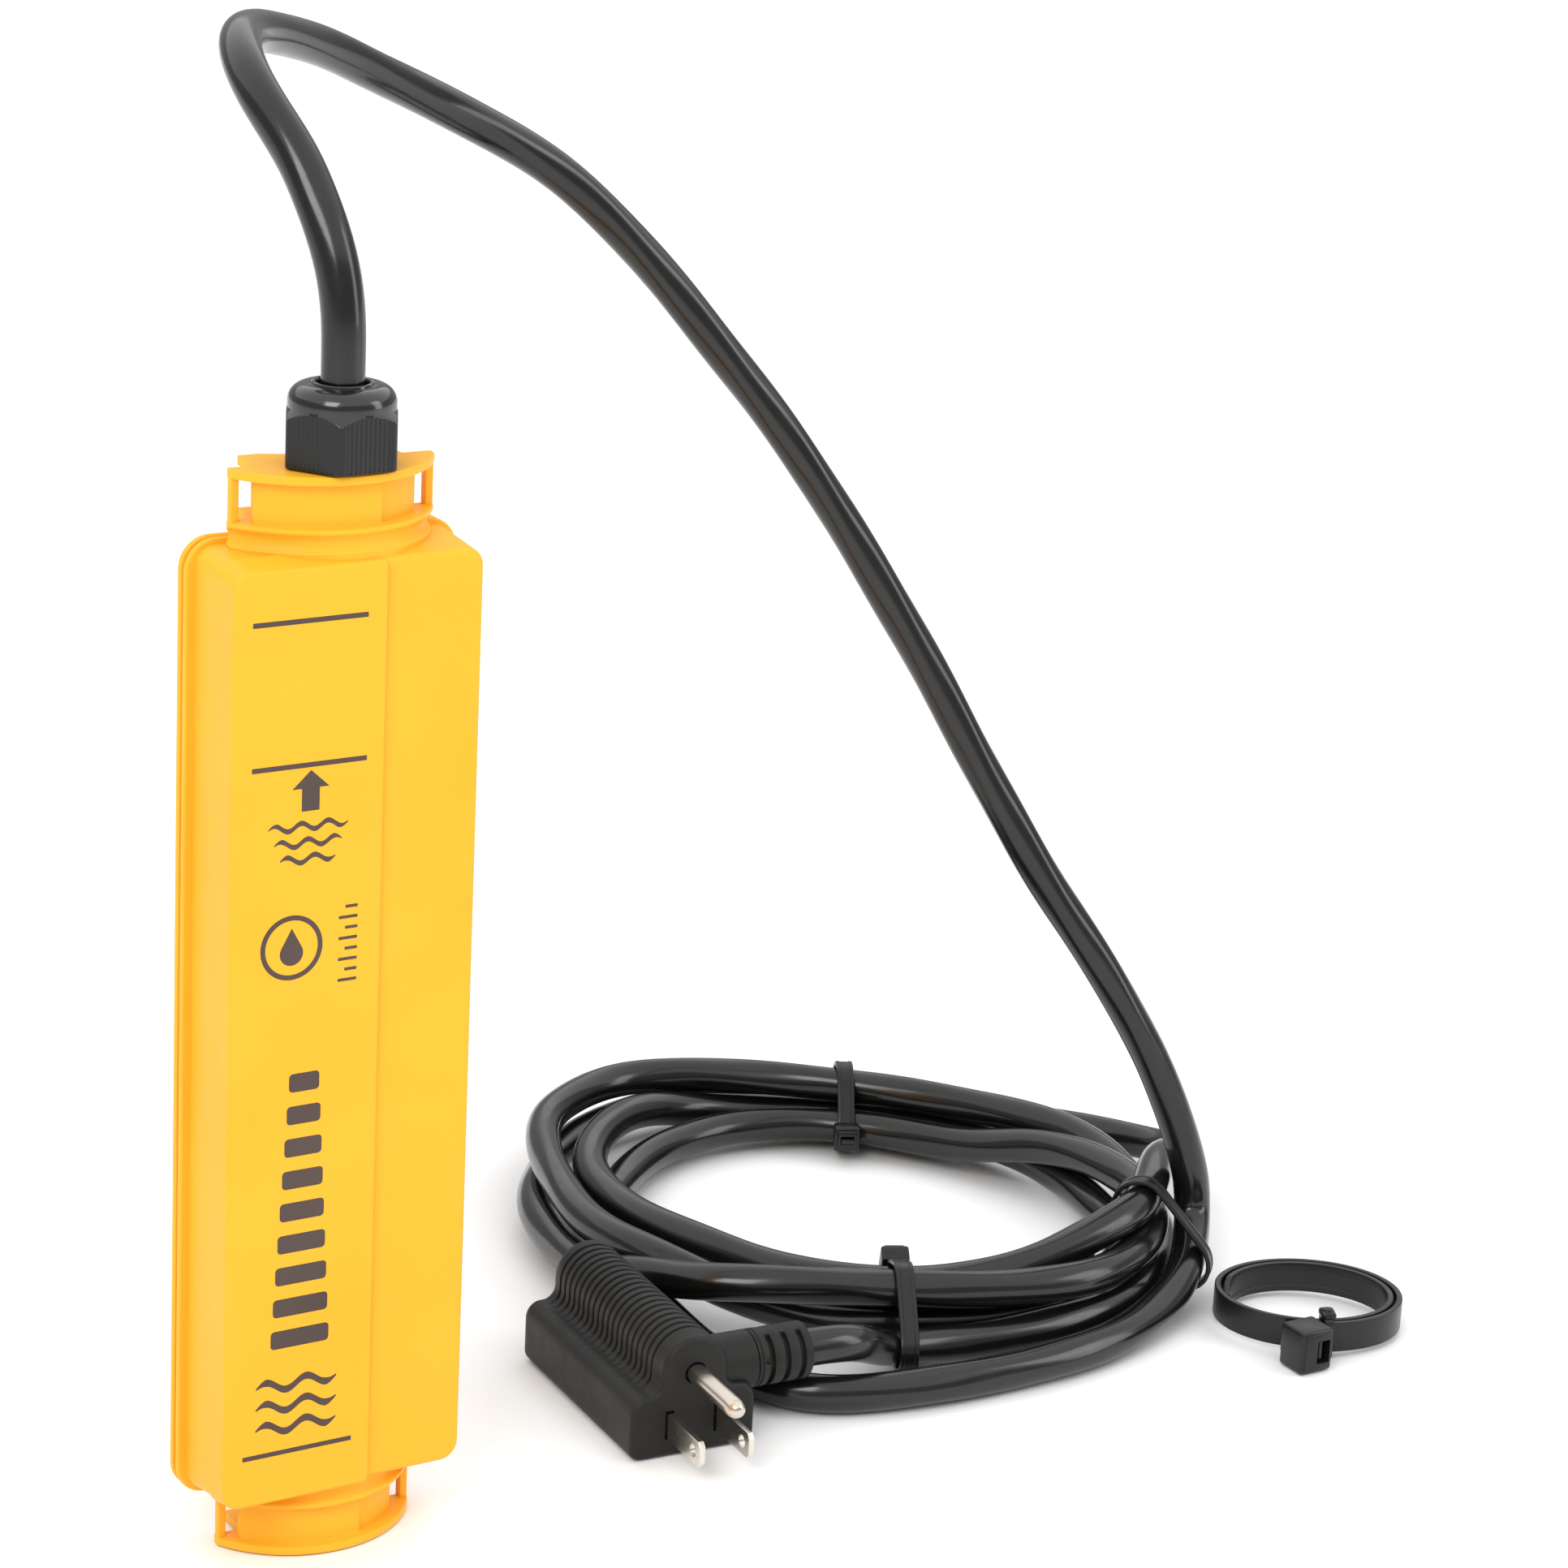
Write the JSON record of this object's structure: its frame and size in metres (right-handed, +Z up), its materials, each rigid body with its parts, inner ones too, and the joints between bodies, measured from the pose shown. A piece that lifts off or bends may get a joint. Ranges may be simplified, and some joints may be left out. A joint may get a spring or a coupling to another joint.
{
  "type": "liquid level switch",
  "caption": "Flat yellow liquid-level switch housing with strap collars and a cable gland, a tied coil of cord ending in a piggyback plug, and a loose mounting strap.",
  "frame": {"origin": "centre of the housing's footprint, on the floor it stands on", "axes": "+X along the label face to its right edge, +Y from the label face to the pipe side, +Z up along the housing"},
  "size_m": [0.334, 0.2127, 0.3308],
  "materials": {
    "yellow_abs": "satin moulded ABS",
    "seal_tpe": "squeezed sealing bead",
    "black_nylon": "moulded nylon",
    "black_rubber": "matte rubber",
    "black_pvc": "glossy extruded cord jacket",
    "plug_pvc": "matte moulded PVC",
    "nickel_brass": "nickel-plated brass",
    "board_green": "solder mask on glass-epoxy",
    "copper_foil": "copper foil",
    "terminal_green": "moulded polyamide",
    "capacitor_red": "dipped epoxy case",
    "varistor_blue": "dipped epoxy disc",
    "black_epoxy": "moulded epoxy",
    "aluminium": "extruded",
    "wire_black": "insulation",
    "wire_white": "insulation",
    "wire_red": "insulation"
  },
  "bodies": {
    "switch": {"housing_body": "yellow_abs", "rear_cover": "yellow_abs", "cover_seal": "seal_tpe", "gland_bushing": "black_rubber", "power_cord": "black_pvc", "coil_tie_rear": "black_nylon", "coil_tie_front": "black_nylon", "coil_tie_side": "black_nylon", "circuit_board": "board_green", "sensor_pad_upper": "copper_foil", "sensor_pad_lower": "copper_foil", "terminal_block": "terminal_green", "film_capacitor": "capacitor_red", "varistor": "varistor_blue", "triac": "black_epoxy", "heat_sink": "aluminium", "control_chip": "black_epoxy", "line_wire": "wire_black", "neutral_wire": "wire_white", "load_wire": "wire_red", "strain_relief": "plug_pvc"},
    "gland_clamp": {"gland_clamp_ring": "black_nylon"},
    "gland_nut": {"gland_nut": "black_nylon"},
    "plug": {"plug_body": "plug_pvc", "hot_blade": "nickel_brass", "neutral_blade": "nickel_brass", "ground_pin": "nickel_brass", "load_contact": "nickel_brass", "neutral_contact": "nickel_brass", "ground_contact": "nickel_brass"},
    "loose_strap": {"mounting_strap": "black_nylon", "strap_binder": "black_nylon"}
  },
  "joints": [
    {"name": "gland_clamp_travel", "type": "slide", "parent": "switch", "child": "gland_clamp", "axis": [0, 0, 1], "range_m": [0, 0.0045]},
    {"name": "gland_nut_turn", "type": "hinge", "parent": "gland_clamp", "child": "gland_nut", "pos_m": [0, -0.001, 0.2455], "axis": [0, 0, 1], "range_deg": [0, 1080]},
    {"name": "plug_swing", "type": "hinge", "parent": "switch", "child": "plug", "pos_m": [0.114, 0.004, 0.0175], "axis": [0, 0, 1], "range_deg": [0, 18], "stiffness_Nm_per_rad": 0.05, "deforming": ["strain_relief"]},
    {"name": "mounting_strap_lift", "type": "slide", "parent": "switch", "child": "loose_strap", "axis": [0, 0, 1], "range_m": [0, 0.1]}
  ],
  "couplings": [
    {"joint": "gland_nut_turn", "follows": "gland_clamp_travel", "rad_per_m": 4188.8}
  ]
}
